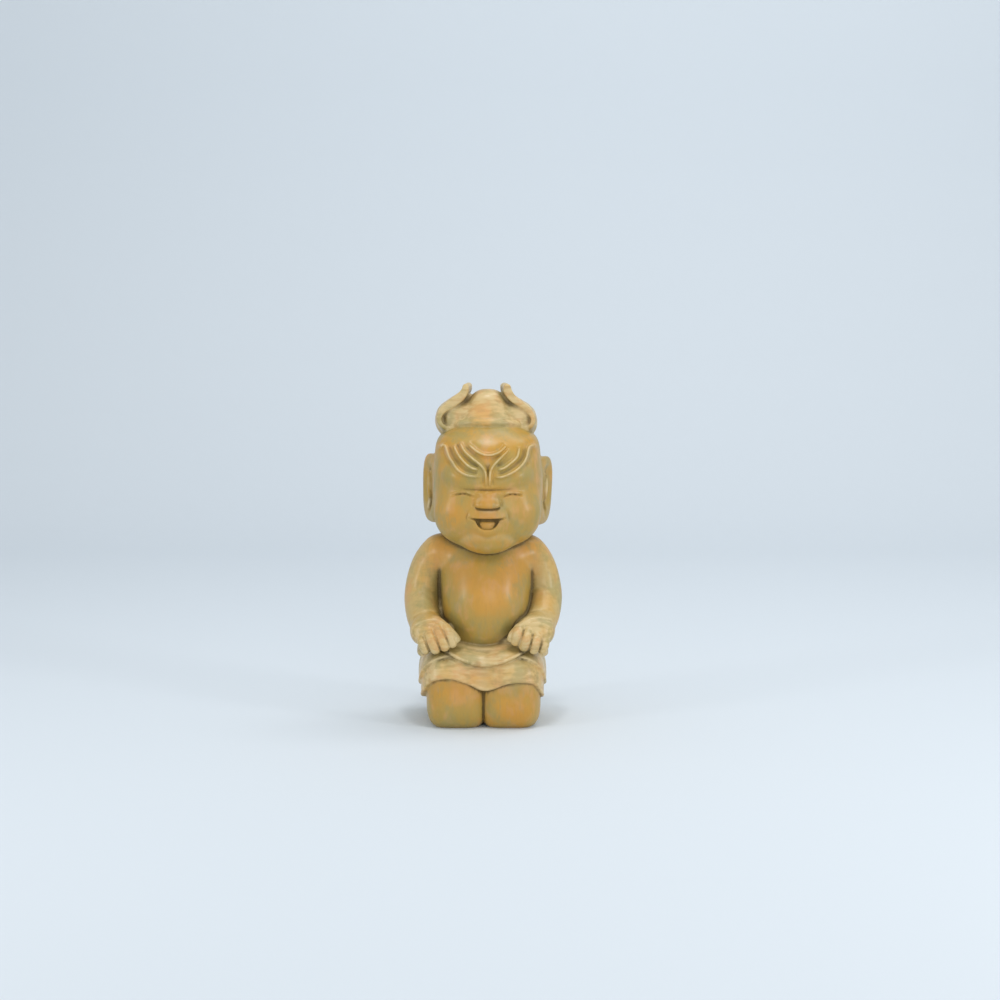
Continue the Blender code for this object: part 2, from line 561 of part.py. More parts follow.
def rough_skin():
    """One closed skin round all the forms, as a mesh of even cells."""
    clay = bmesh.new()
    ears = [form for plate, _, ridge in EARS for form in (plate, ridge)]
    for form in [*HEAD_FORMS, *ears, *TOPKNOT_FORMS, *RIBBONS, *BODY, *LEGS, *DRAPE, WAIST_ROLL]:
        form.shell(clay)
    mesh = bpy.data.meshes.new("rough clay")
    clay.to_mesh(mesh)
    clay.free()
    return remade(mesh, "REMESH", mode="VOXEL", voxel_size=ROUGH_CELL / UNIT)


def places_of(mesh):
    points = np.empty(len(mesh.vertices) * 3, np.float32)
    mesh.vertices.foreach_get("co", points)
    return points.reshape(-1, 3).astype(float)


def settle(mesh, rounds):
    """Moves the skin's points onto the figure's own surface."""
    points = places_of(mesh)
    for _ in range(rounds):
        gap = figure_gap(points)
        off = np.abs(gap) > CLOSE_ENOUGH
        there, gap = points[off], gap[off]
        slope = np.stack([figure_gap(there + step) - gap for step in np.eye(3) * FEELER], 1) / FEELER
        steep = np.maximum((slope**2).sum(1), 0.3)
        points[off] -= (np.clip(gap, -LONGEST_STEP, LONGEST_STEP) / steep)[:, None] * slope
    mesh.vertices.foreach_set("co", points.ravel().astype(np.float32))
    mesh.update()


def relax(mesh):
    """Evens out the spacing of the skin's points."""
    skin = bmesh.new()
    skin.from_mesh(mesh)
    bmesh.ops.smooth_vert(skin, verts=skin.verts, factor=0.5,
                          use_axis_x=True, use_axis_y=True, use_axis_z=True)
    skin.to_mesh(mesh)
    skin.free()


def stand_flat(mesh):
    """Cuts the underside flat at the ground, scales the figure to its real height and centres it."""
    skin = bmesh.new()
    skin.from_mesh(mesh)
    cut = bmesh.ops.bisect_plane(skin, geom=[*skin.verts, *skin.edges, *skin.faces], plane_co=(0, 0, 0),
                                 plane_no=(0, 0, -1), clear_outer=True, dist=1e-4)
    rim = [edge for edge in cut["geom_cut"] if isinstance(edge, bmesh.types.BMEdge)]
    bmesh.ops.holes_fill(skin, edges=rim, sides=0)
    low = [min(vert.co[axis] for vert in skin.verts) for axis in range(3)]
    high = [max(vert.co[axis] for vert in skin.verts) for axis in range(3)]
    centre = Vector(((low[0] + high[0]) / 2, (low[1] + high[1]) / 2, 0))
    bmesh.ops.translate(skin, verts=skin.verts, vec=-centre)
    bmesh.ops.scale(skin, verts=skin.verts, vec=Vector((UNIT, UNIT, UNIT)))
    bmesh.ops.triangulate(skin, faces=[face for face in skin.faces if len(face.verts) > 4])
    skin.to_mesh(mesh)
    skin.free()


def patina(name):
    """Ochre colour rubbed over the cast figure and waxed to a soft shine."""
    finish = bpy.data.materials.new(name)
    finish.use_nodes = True
    shader = finish.node_tree.nodes["Principled BSDF"]
    shader.inputs["Base Color"].default_value = OCHRE
    shader.inputs["Roughness"].default_value = 0.45
    return finish


def figure():
    mesh = rough_skin()
    settle(mesh, 3)
    for cell in (EVEN_CELL, SKIN_CELL):
        mesh = remade(mesh, "REMESH", mode="VOXEL", voxel_size=cell / UNIT)
        settle(mesh, 2)
    relax(mesh)
    settle(mesh, 2)
    triangles = sum(len(face.vertices) - 2 for face in mesh.polygons)
    mesh = remade(mesh, "DECIMATE", ratio=min(1, SKIN_TRIANGLES / triangles), use_collapse_triangulate=True)
    stand_flat(mesh)
    mesh.name = "figure"
    mesh.materials.clear()
    mesh.materials.append(patina("ochre patina"))
    mesh.shade_smooth()
    thing = bpy.data.objects.new("figure", mesh)
    collection.objects.link(thing)
    return thing


collection = bpy.data.collections.new("nio guardian figure")
bpy.context.scene.collection.children.link(collection)
figure()
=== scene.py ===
import math
from collections import namedtuple

import bmesh
import bpy
import numpy as np
from mathutils import Euler, Matrix, Vector


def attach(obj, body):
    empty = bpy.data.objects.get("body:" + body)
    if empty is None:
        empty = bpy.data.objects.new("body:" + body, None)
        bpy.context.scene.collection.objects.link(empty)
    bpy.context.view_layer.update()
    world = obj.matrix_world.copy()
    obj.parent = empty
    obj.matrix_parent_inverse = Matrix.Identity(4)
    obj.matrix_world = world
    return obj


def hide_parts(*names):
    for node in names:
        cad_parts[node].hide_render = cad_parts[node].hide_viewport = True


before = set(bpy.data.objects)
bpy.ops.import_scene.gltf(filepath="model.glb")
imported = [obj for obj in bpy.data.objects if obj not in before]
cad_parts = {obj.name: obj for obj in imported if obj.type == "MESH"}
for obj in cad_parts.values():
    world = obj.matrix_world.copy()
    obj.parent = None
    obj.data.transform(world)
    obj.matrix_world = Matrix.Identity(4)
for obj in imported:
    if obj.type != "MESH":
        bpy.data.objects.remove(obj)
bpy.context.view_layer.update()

# The knees, shins and feet
# The figure is one casting in fired clay, modelled by hand, and each section here gives the forms of one
# place, in millimetres of a figure 236 mm tall that faces -Y. It kneels: the knees come forward as two full
# blocks with a groove between them, and the shins and bare feet lie folded back under the seat.
Form = namedtuple("Form", "gap shell blend low high")
VIEW_RISE = math.radians(6)
VIEW_SLOPE = math.tan(VIEW_RISE)
FACE_PLANE = -40.0


def soft_min(a, b, reach):
    """The lesser of two distances, rounded off where they differ by less than reach."""
    near = np.clip(reach - np.abs(a - b), 0, None)
    return np.minimum(a, b) - near * near / (4 * reach)


def ramp(value, start, end):
    """0 before start and 1 after end, with an even slope that eases in and out."""
    t = np.clip((value - start) / (end - start), 0, 1)
    return t * t * (3 - 2 * t)


def smooth_path(points, steps=6):
    """Points along one smooth curve through the given ones."""
    given = np.array(points, float)
    ends = np.vstack([2 * given[0] - given[1], given, 2 * given[-1] - given[-2]])
    made = []
    for a, b, c, d in zip(ends, ends[1:], ends[2:], ends[3:]):
        for t in np.arange(steps) / steps:
            made.append(0.5 * (2 * b + (c - a) * t + (2 * a - 5 * b + 4 * c - d) * t**2
                               + (3 * b - a - 3 * c + d) * t**3))
    made.append(given[-1])
    return np.array(made)


def path_gap(points, path):
    """Distance from each point to a line of straight runs, and how far along it, from 0 to 1."""
    best = np.full(len(points), np.inf)
    along = np.zeros(len(points))
    runs = len(path) - 1
    for i in range(runs):
        run = path[i + 1] - path[i]
        t = np.clip((points - path[i]) @ run / (run @ run), 0, 1)
        gap = np.linalg.norm(points - path[i] - t[:, None] * run, axis=1)
        closer = gap < best
        best = np.where(closer, gap, best)
        along = np.where(closer, (i + t) / runs, along)
    return best, along


def hull_of_balls(clay, balls):
    """Adds the hull round some balls, each a centre and a radius, to a bmesh."""
    lump = bmesh.new()
    for centre, radius in balls:
        bmesh.ops.create_icosphere(lump, subdivisions=2, radius=radius, matrix=Matrix.Translation(centre))
    hull = bmesh.ops.convex_hull(lump, input=lump.verts)
    bmesh.ops.delete(lump, geom=hull["geom_interior"] + hull["geom_unused"], context="VERTS")
    mesh = bpy.data.meshes.new("hull")
    lump.to_mesh(mesh)
    lump.free()
    clay.from_mesh(mesh)
    bpy.data.meshes.remove(mesh)


def egg(centre, radii, turn=(0, 0, 0), square=2.0, depth_square=None, blend=4.0):
    """A rounded form. A square above 2 makes it fuller at its corners, from the front or along its depth."""
    spin = np.array(Euler([math.radians(angle) for angle in turn]).to_matrix())
    middle, radii = np.array(centre, float), np.array(radii, float)
    deep = depth_square or square

    def sizes(share):
        """How far out a point is as a share of the form's surface, across and in all."""
        across = (share[:, 0] ** square + share[:, 2] ** square) ** (1 / square)
        return across, (across**deep + share[:, 1] ** deep) ** (1 / deep)

    def gap(points):
        share = np.abs((points - middle) @ spin) / radii + 1e-9
        across, size = sizes(share)
        slope = (share / across[:, None]) ** (square - 1) / radii * ((across / size) ** (deep - 1))[:, None]
        slope[:, 1] = (share[:, 1] / size) ** (deep - 1) / radii[1]
        return (size - 1) / np.linalg.norm(slope, axis=1)

    def shell(clay):
        made = bmesh.ops.create_icosphere(clay, subdivisions=4, radius=1)
        ball = np.array([vert.co for vert in made["verts"]])
        placed = ball / sizes(np.abs(ball) + 1e-9)[1][:, None] * radii @ spin.T + middle
        for vert, place in zip(made["verts"], placed):
            vert.co = place

    reach = radii.max() * 1.3
    return Form(gap, shell, blend, middle - reach, middle + reach)


def limb(joints, blend=4.0):
    """A round limb along a smooth line through its joints, each (x, y, z, radius)."""
    line = smooth_path(joints, 4)
    places, radii = line[:, :3], line[:, 3]

    def gap(points):
        near, along = path_gap(points, places)
        return near - np.interp(along, np.linspace(0, 1, len(radii)), radii)

    def shell(clay):
        for a, b in zip(line, line[1:]):
            hull_of_balls(clay, [(Vector(a[:3]), a[3]), (Vector(b[:3]), b[3])])

    return Form(gap, shell, blend, places.min(0) - radii.max(), places.max(0) + radii.max())


def pressed(points, forms):
    """Distance from the skin over forms pressed together, each blended as it says."""
    skin = forms[0].gap(points)
    for form in forms[1:]:
        skin = soft_min(skin, form.gap(points), form.blend)
    return skin


def as_seen(points):
    """Where points lie in the plane of the face, (x, height), as seen from a little above the front."""
    return np.stack([points[:, 0], points[:, 2] + (points[:, 1] - FACE_PLANE) * VIEW_SLOPE], 1)


def drawn(points, path, width, height, fade=0.12):
    """What a line on the front raises, or cuts where height is below 0, with a soft hollow beside it."""
    line = smooth_path(path)
    seen = as_seen(points)
    reach = 4 * width
    near = ((seen > line.min(0) - reach) & (seen < line.max(0) + reach)).all(1)
    raised = np.zeros(len(points))
    if near.any():
        gap, along = path_gap(seen[near], line)
        ends = np.clip(np.minimum(along, 1 - along) / fade, 0, 1)
        crest = 1.3 * np.exp(-((gap / width) ** 2)) - 0.5 * np.exp(-((gap / (2.3 * width)) ** 2))
        raised[near] = height * crest * ends
    return raised


KNEES = [
    egg((-18.0, -19.5, 21.5), (21.4, 23.5, 24), square=3.7, depth_square=3),
    egg((18.4, -19.5, 21.5), (21.4, 23.5, 24), square=3.7, depth_square=3, blend=0.4),
]
SHINS = [
    egg((-20, 12, 10), (18, 34, 12), square=2.8, blend=3),
    egg((19, 12, 10), (18, 34, 12), square=2.8, blend=3),
]
FEET = [limb([(side * (9 + 5.2 * i), 38, 5.5, 4.2),
              (side * (8.5 + 5.4 * i), 46.5 - 1.1 * i, 3.6, 3.3 - 0.25 * i)], blend=1)
        for side in (-1, 1) for i in range(4)]
LEGS = KNEES + SHINS + FEET


def leg_gap(points):
    return pressed(points, LEGS)


# The cloth
# A short skirt of three layers is wrapped round the hips and tied behind in a thick roll. It is part of the
# casting: the skirt, an over-skirt that opens in front and a crescent-shaped apron, each with a rolled hem
# that the modeller cut crisply.
DRAPE = [
    egg((-20.8, -9.5, 27), (22.6, 35, 28), square=2.8, depth_square=3.2),
    egg((19.4, -9.5, 27), (22.8, 35, 28), square=2.8, depth_square=3.2, blend=13),
    egg((-1, -7, 33.4), (30, 32, 19.4), square=2.5, blend=6),
    egg((-1, 15, 33), (42, 26, 25), square=2.4, blend=8),
]
OVERSKIRT_THICKNESS = 1.6
APRON_THICKNESS = 1.9
HEM_ROUNDING = 1.2
HEM_CENTRE = (0.0, -5.0)
HEM_ANGLES = [-180, -140, -100, -75, -57, -50, -43, -33, -26, -14, -7, 0.5, 9.5, 20.6, 31, 43, 50, 60, 75,
              100, 140, 180]
HEM_HEIGHTS = [17.5, 18, 19.5, 21, 25.6, 30.1, 33.9, 35.3, 34.6, 31.2, 28.4, 27, 27.7, 31.2, 32.6, 31.9,
               27.7, 22.8, 20.5, 19.5, 18, 17.5]
OVERSKIRT_ANGLES = [-180, -110, -80, -65, -57, -50, -42, -33, -26, 0, 26, 33, 42, 50, 57, 65, 80, 110, 180]
OVERSKIRT_HEIGHTS = [28, 28, 29.5, 34, 39.5, 44.6, 48.6, 50.6, 51.2, 51.4, 51, 50.2, 48.4, 44.6, 39.5, 34,
                     29.5, 28, 28]
APRON_BOWL = ((1.5, -26.0, 80.4), 39.6)
APRON_FOLD = [(-13, 55.8), (-8, 54.2), (3.6, 53.2), (12, 54.6), (17, 57)]
SKIRT_FOLD = [(-19, 42), (-8, 38.4), (1, 37.2), (10, 38.4), (20, 42)]
WAIST_ROLL = limb([(-29, -26, 50, 2.2), (-41, -15, 48.6, 2.6), (-43.6, -4, 48.4, 3.0), (-40.5, 15, 51, 4.2),
                   (-25, 29, 53.5, 4.8), (-1, 36, 54, 4.9), (23, 29, 53.5, 4.8), (38.5, 15, 51, 4.2),
                   (42.6, -4, 48.2, 3.0), (40, -15, 48.6, 2.6), (28, -26, 50, 2.2)], blend=1.5)


def layer(skin, above, lip):
    """A layer of cloth outside a skin, kept above its hem, with a rolled and rounded edge."""
    roll = lip * np.exp(-(((above - HEM_ROUNDING) / HEM_ROUNDING) ** 2))
    return -soft_min(roll - skin, above, HEM_ROUNDING)


def above_hem(points, angles, heights):
    """How far each point is above a hem whose height changes with its bearing from the front."""
    bearing = np.degrees(np.arctan2(points[:, 0] - HEM_CENTRE[0], HEM_CENTRE[1] - points[:, 1]))
    hem = smooth_path(list(zip(angles, heights)))
    return as_seen(points)[:, 1] - np.interp(bearing, hem[:, 0], hem[:, 1])


def cloth_gap(points):
    skin = pressed(points, DRAPE)
    folds = drawn(points, APRON_FOLD, 1.6, -0.45) + drawn(points, SKIRT_FOLD, 2.2, -0.7)
    skirt = layer(skin - folds, above_hem(points, HEM_ANGLES, HEM_HEIGHTS), 0.5)
    above = above_hem(points, OVERSKIRT_ANGLES, OVERSKIRT_HEIGHTS)
    overskirt = layer(skin - OVERSKIRT_THICKNESS, above, 0.3)
    inside_bowl = APRON_BOWL[1] - np.linalg.norm(points - APRON_BOWL[0], axis=1)
    apron = layer(skin - folds - OVERSKIRT_THICKNESS - APRON_THICKNESS, inside_bowl, 0.4)
    return soft_min(soft_min(skirt, overskirt, 0.5), apron, 0.5)


# The trunk and arms
# A round bare belly and chest with sloping shoulders. The arms hang at the sides and bring the hands forward
# onto the thighs. They are joined to the trunk all the way down, with a deep crease, because a thin arm
# standing free would break off in the kiln.
MIDLINE = 3.0
TRUNK_FORMS = [
    egg((MIDLINE - 1.2, -3.5, 82), (31.0, 31.5, 35), square=2.15),
    egg((MIDLINE - 1, 0, 107), (31.5, 24, 24), blend=12),
    egg((1, 3, 119), (38, 17, 13.5), blend=10),
    egg((MIDLINE, 0, 128), (22, 20, 14), blend=6),
    egg((1.5, 11, 90), (32, 17, 34), blend=10),
    egg((0, 4, 60), (34, 28, 16), blend=8),
    limb([(-30, 12, 108, 8), (-31, 11.5, 88, 9), (-31, 5, 68, 9)], blend=2),
    limb([(31.5, 12, 108, 8), (32, 11.5, 88, 9), (32, 5, 68, 9)], blend=2),
]
SPINE = [(0.5, 26, 120), (0.5, 29, 108), (0.5, 29, 92), (0.5, 28.5, 76), (0.5, 31, 62)]
ARMS = [
    limb([(-31, 4, 116, 12.5), (-36.5, 5, 110, 12.8), (-41, 5, 99, 12.6), (-43, 2, 86, 12.6),
          (-42.2, -9, 76, 11.8), (-39.2, -21, 68, 11)], blend=5),
    limb([(31.5, 4, 115, 12.3), (37, 5, 109, 12.6), (41, 5, 98.5, 12.4), (42.6, 2, 86, 12.6),
          (41.6, -9, 76, 11.8), (38.2, -21, 68, 11)], blend=5),
]
ARM_CREASES = [
    ([(-45, 93), (-40, 95.6), (-35, 94.5), (-31, 92)], 1.2, -0.5),
    ([(46, 95), (41, 97.6), (36, 96), (32, 93)], 1.2, -0.5),
    ([(-50, 75), (-44, 79), (-37, 80.6), (-30, 79)], 1.1, -0.6),
    ([(-49, 69.5), (-42, 73.3), (-35, 74.8), (-28.5, 73.5)], 1.0, -0.5),
    ([(50, 78), (44, 80.4), (37, 81), (31.5, 79.5)], 1.1, -0.6),
    ([(49, 73.4), (43, 75.4), (37, 75.8), (31, 74.6)], 1.0, -0.5),
]

# The hands
# Each is a plump palm with four fingers bent over the thigh and a thumb beside the belly, on a solid bed of
# clay. The grooves between the fingers are cut with a tool after the fingers are pressed on.
LEFT_HAND = [
    egg((-35.5, -27, 65), (14, 9.5, 9.5), turn=(-25, 0, 0), square=2.3, blend=5),
    limb([(-42.6, -31, 64, 3.5), (-41.3, -36.8, 60, 3.7), (-39.5, -37.6, 55, 3.2)], blend=0.9),
    limb([(-37, -33.3, 67, 3.9), (-34.9, -38.9, 62, 3.9), (-32.6, -39.5, 55.8, 3.5)], blend=0.9),
    limb([(-31, -33.8, 68.5, 3.8), (-28.4, -39.2, 63.2, 3.8), (-26.2, -39.8, 57.6, 3.4)], blend=0.9),
    limb([(-25.6, -33.5, 69, 3.4), (-22.9, -38.4, 64.5, 3.4), (-21, -39.2, 59.6, 3.1)], blend=0.9),
    limb([(-32, -27, 73.6, 3.4), (-26, -32.6, 69.6, 3.3), (-21.2, -36, 65.8, 3.1),
          (-17.8, -37.4, 62.4, 2.5)], blend=1.6),
    limb([(-31, -2, 67, 8.5), (-31, -13, 65, 8.5), (-28, -24, 62, 7), (-26, -31, 58, 5)], blend=1),
]
RIGHT_HAND = [
    egg((35, -27, 65.5), (13.5, 9.5, 10.5), turn=(-25, 0, 0), square=2.3, blend=5),
    limb([(42.2, -32, 62.5, 3.5), (41.8, -36.6, 58.5, 3.6), (40.6, -36.8, 55, 3.2)], blend=0.9),
    limb([(36.8, -34, 64.5, 3.9), (35.9, -39.2, 60.5, 4.0), (34.7, -38.7, 55.8, 3.6)], blend=0.9),
    limb([(30.4, -34.8, 66.5, 3.8), (29.4, -40, 62.5, 4.0), (28, -39.3, 57.8, 3.6)], blend=0.9),
    limb([(24.8, -34.5, 69, 3.4), (23.5, -38.9, 65.5, 3.7), (22.2, -38.6, 61, 3.2)], blend=0.9),
    limb([(32, -28, 73, 3.2), (25.4, -33, 70, 3.0), (20.4, -36.2, 66, 2.6), (18.6, -37, 62.6, 2.2)],
         blend=1.4),
    limb([(32, -2, 64, 9), (31, -13, 62, 9), (25, -23, 61, 8), (28, -31, 58, 5)], blend=1),
    egg((17, -22, 59), (9, 6, 7), blend=1),
]
FINGER_GAPS = [
    [(-41.4, 65), (-39.4, 61), (-36.7, 54.5)],
    [(-35, 69), (-32.9, 64.5), (-29.2, 56)],
    [(-28.4, 70), (-26.2, 66), (-22.8, 58.3)],
    [(39.8, 64), (39.2, 59), (38, 52.5)],
    [(33.9, 67), (33, 60.5), (31.4, 53)],
    [(27.7, 70), (26.8, 64), (25.2, 56)],
]
BODY = TRUNK_FORMS + ARMS + LEFT_HAND + RIGHT_HAND
CLOSE = 14.0


def close_to(points, forms, gap):
    """The distance that gap gives, worked out only near the forms, and taken as far elsewhere."""
    low = np.min([form.low for form in forms], axis=0) - CLOSE
    high = np.max([form.high for form in forms], axis=0) + CLOSE
    near = ((points > low) & (points < high)).all(1)
    far = np.full(len(points), CLOSE)
    if near.any():
        far[near] = np.minimum(gap(points[near]), CLOSE)
    return far


def trunk_gap(points):
    return pressed(points, TRUNK_FORMS)


def body_gap(points):
    """The trunk and arms: smooth over the shoulder, with a sharp crease from the armpit down."""
    skin = trunk_gap(points)
    blend = 1.6 + 8.8 * ramp(points[:, 2], 102, 118)
    for arm, hand in zip(ARMS, (LEFT_HAND, RIGHT_HAND)):
        forms = [arm, *hand]
        sleeve = close_to(points, forms, lambda near, forms=forms: pressed(near, forms))
        skin = soft_min(skin, sleeve, blend)
    creases = sum(drawn(points, *crease) for crease in ARM_CREASES)
    creases = creases + sum(drawn(points, gap, 0.85, -0.4) for gap in FINGER_GAPS)
    spine = path_gap(points, smooth_path(SPINE))[0]
    return skin - creases * ramp(points[:, 1], 2, -6) + 1.3 * np.exp(-((spine / 4.5) ** 2))


# The head and face
# A broad, squarish skull with full cheeks, heavy knotted brows and a laughing mouth. The modeller pressed on
# the brows, nose and lips, drew the furrows as raised crests with a cleft between them, and cut the eyes as
# two thin slits.
HEAD_FORMS = [
    egg((MIDLINE, -1, 175.5), (36.8, 37.5, 29.7), square=4.6, depth_square=2.5),
    egg((MIDLINE, -3, 160), (36.8, 38.5, 39.5), square=2.7, depth_square=2.4, blend=6),
    egg((MIDLINE, -2, 178), (30, 30, 33.5), square=2.6, depth_square=2.5, blend=5),
    egg((MIDLINE - 18.5, -26, 147), (17.5, 14, 18), blend=9),
    egg((MIDLINE + 18.5, -26, 147), (17.5, 14, 18), blend=9),
    egg((MIDLINE, -33, 143), (16, 9, 12), blend=7),
    egg((MIDLINE, -28, 129), (16, 12, 9), blend=7),
    egg((MIDLINE - 15, -33.2, 174.4), (14.5, 7.4, 8.6), turn=(0, 0, -17), blend=5),
    egg((MIDLINE + 15, -33.2, 174.4), (14.5, 7.4, 8.6), turn=(0, 0, 17), blend=5),
    egg((MIDLINE, -38.4, 162), (6.4, 5.2, 4.8), blend=2.6),
    egg((MIDLINE, -39.4, 158.8), (5.2, 4.8, 4.4), blend=3),
    egg((MIDLINE + 0.2, -41.2, 155.4), (6.9, 5.0, 3.7), square=2.3, blend=2.6),
    egg((MIDLINE - 6.5, -40.0, 154.8), (2.6, 3.4, 2.6), blend=1.6),
    egg((MIDLINE + 6.8, -40.0, 154.8), (2.6, 3.4, 2.6), blend=1.6),
    limb([(MIDLINE - 10, -37.6, 147.2, 2.2), (MIDLINE, -41, 148.4, 3.3), (MIDLINE + 10, -37.6, 147.2, 2.2)],
         blend=3),
    limb([(MIDLINE - 10, -36.6, 143.8, 1.6), (MIDLINE - 7, -38.6, 139.4, 2.4), (MIDLINE, -39.8, 137, 2.8),
          (MIDLINE + 7, -38.6, 139.4, 2.4), (MIDLINE + 10, -36.6, 143.8, 1.6)], blend=3),
]
MOUTH_TOP = 145.3
MOUTH = egg((MIDLINE, -47, 145), (8.6, 13.5, 6.6), square=2.8, depth_square=3)
TONGUE = egg((MIDLINE, -36, 140.6), (7.6, 5.2, 4.2), square=2.8, depth_square=3, blend=0.4)
JAW_TAPER = 0.05
BROW_CRESTS = [
    [(-31, 194.6), (-28.6, 195.8), (-26.1, 196), (-23.4, 188.9), (-20.7, 184.2), (-16.7, 178.7),
     (-10.6, 175.3), (-1.8, 174)],
    [(-20, 196.6), (-17.3, 190.3), (-12.6, 184.2), (-7.9, 180.4), (-2.8, 178.9)],
    [(-15.9, 198.6), (-12.6, 191.9), (-6.5, 186.2), (-1.4, 182), (1.5, 178), (2.2, 172), (2.1, 167.4)],
    [(-10.5, 197), (-3.1, 191), (4, 189), (11.1, 191), (16.3, 196)],
    [(18.2, 193.4), (12, 187), (7.3, 182), (5.1, 177.7), (4.7, 172), (4.6, 167.4)],
    [(25, 195.1), (23.3, 187.9), (18.6, 183.3), (14.5, 180.3), (9.8, 178.9)],
    [(37, 195), (34.5, 196.2), (31.6, 194.6), (29.4, 186.9), (26, 181.8), (20.6, 177.4), (13.2, 174.2),
     (7.6, 174)],
]
BROW_CLEFT = [(3.4, 181), (3.4, 174), (3.4, 166.8)]
BROW_EDGE = [(-20, 167.6), (-9, 165.7), (3.4, 165.1), (15.8, 165.7), (27, 167.6)]
EYE_SLITS = [
    [(-22.5, 160.8), (-17.4, 162.2), (-12.6, 162.6), (-8.2, 161.3), (-4.7, 159.4)],
    [(27, 161.3), (25.4, 161.8), (19.3, 162.3), (15.2, 161.2), (11.8, 159.4)],
]
LID_RISE = 1.5
CHIN_FOLD = [(-5, 134.6), (3, 132.2), (11, 134.6)]
NOSE_BASE = [(-5.2, 153.8), (-3.2, 152.3), (3, 151.9), (9.6, 152.3), (11.6, 153.8)]
NOSE_SIDES = [
    [(-4.2, 160), (-6.0, 157.6), (-6.4, 155), (-4.9, 152.6)],
    [(10.4, 160), (12.2, 157.6), (12.6, 155), (11.1, 152.6)],
]
MOUTH_LINE = [(-9.9, 146.2), (-6.5, 145.3), (3, 145), (12.5, 145.3), (15.7, 146.2)]
SMILE_FOLDS = [
    [(-7.4, 153.5), (-10.3, 149.5), (-11.3, 145), (-10.2, 141)],
    [(14.2, 153.5), (17, 149.5), (17.8, 145), (16.8, 141)],
]


def face_relief(points):
    raised = drawn(points, BROW_CLEFT, 0.6, -0.3) + drawn(points, BROW_EDGE, 1.3, -1.0, fade=0.4)
    for crest in BROW_CRESTS:
        raised += drawn(points, crest, 1.25, 1.8, fade=0.06)
    for slit in EYE_SLITS:
        raised += drawn(points, [(x, height + LID_RISE) for x, height in slit], 0.8, 0.65, fade=0.3)
        raised += drawn(points, slit, 0.68, -0.75, fade=0.3)
    raised += drawn(points, NOSE_BASE, 0.85, -0.7)
    raised += drawn(points, MOUTH_LINE, 0.75, -1.1)
    raised += drawn(points, CHIN_FOLD, 1.8, -0.35, fade=0.4)
    for side in NOSE_SIDES:
        raised += drawn(points, side, 1.0, -0.45, fade=0.3)
    for fold in SMILE_FOLDS:
        raised += drawn(points, fold, 1.5, -0.7, fade=0.4)
    return raised * ramp(points[:, 1], -8, -20)


def mouth_gaps(points):
    """Distances from the hollow of the mouth and from the tongue, both narrower towards the jaw."""
    tapered = points.copy()
    narrower = 1 + JAW_TAPER * np.clip(MOUTH_TOP - points[:, 2], 0, 8)
    tapered[:, 0] = MIDLINE + (points[:, 0] - MIDLINE) * narrower
    return np.maximum(MOUTH.gap(tapered), points[:, 2] - MOUTH_TOP), TONGUE.gap(tapered)


def head_gap(points):
    skin = pressed(points, HEAD_FORMS) - face_relief(points)
    hollow, tongue = mouth_gaps(points)
    skin = -soft_min(-skin, hollow, 1.2)
    return soft_min(skin, tongue, TONGUE.blend)


# The ears
# Long flat plates that flare backwards, each with a rolled rim, a dished middle with an inner ridge, and a
# full lobe.
EAR_TURN = 20
EAR_GROOVES = [
    [(-39.5, 186), (-37.2, 181), (-36.2, 170), (-36, 158), (-37.6, 151), (-40, 147.5)],
    [(45.5, 183), (43.4, 178), (42.4, 168), (42.2, 156), (43.6, 148.5), (46, 145)],
]


def ear(side, middle, lean):
    turn = (0, lean, -side * EAR_TURN)
    plate = egg(middle, (4.0, 15.5, 24.0), turn=turn, square=3.2, blend=2)
    outward = np.array(Euler((0, 0, math.radians(turn[2]))).to_matrix()) @ np.array((side, 0, 0))
    dish = egg(np.array(middle) + outward * 6.4 + (0, 0, 3.5), (5.2, 10, 16), turn=turn, square=2.4)
    ridge = egg(np.array(middle) + outward * 1.6 + (0, -1, 2.5), (2.4, 3.4, 11), turn=turn, blend=1.5)
    return plate, dish, ridge


EARS = [ear(-1, (-35.4, 5, 162.4), 0), ear(1, (40.9, 5, 160.6), 3)]


def ear_gap(points, parts):
    plate, dish, ridge = parts
    dished = -soft_min(-plate.gap(points), dish.gap(points), 1.5)
    folded = soft_min(dished, ridge.gap(points), ridge.blend)
    grooves = sum(drawn(points, groove, 1.4, -1.2) for groove in EAR_GROOVES)
    return folded - grooves * ramp(points[:, 1], 8, 2)


# The topknot
# The hair is drawn up into a bun with a lobe at each side and tied with a roll at its foot. A stiff ribbon
# curls up beside each lobe, a band on edge with a groove along its outer face, and it widens towards the
# back.
BUN_FOOT = 205.2
BAND_RADII = (23.5, 21.5)
BAND_RISE = 4.6
BAND_THICKNESS = 2.8
BAND = [(MIDLINE + BAND_RADII[0] * math.sin(a), 2 - BAND_RADII[1] * math.cos(a),
         BUN_FOOT + BAND_RISE * max(math.cos(a), 0), BAND_THICKNESS)
        for a in np.radians(np.linspace(-180, 180, 17))]
TOPKNOT_FORMS = [
    egg((MIDLINE, 2, 202), (22.5, 20, 14.5), square=2.6),
    egg((MIDLINE, 2, 204), (16.2, 15, 27.8), square=2.6, blend=10),
    egg((MIDLINE - 19.5, 3, 210.8), (12.2, 11.8, 13), square=2.7, blend=3),
    egg((MIDLINE + 19.5, 3, 210.3), (12.4, 11.8, 13), square=2.7, blend=3),
    limb(BAND, blend=0.8),
    egg((16, 1.5, 226), (5, 6, 5), blend=1),
]
LEFT_CURL = [(-18.8, 204.4, 1.5), (-24.4, 204.8, 1.5), (-29.2, 208, 1.6), (-30.4, 212.8, 1.8),
             (-27.4, 218, 2.4), (-21.8, 222.2, 3.0), (-16.1, 226.4, 3.1), (-12.9, 230.6, 2.6),
             (-12.2, 233.6, 2.2)]
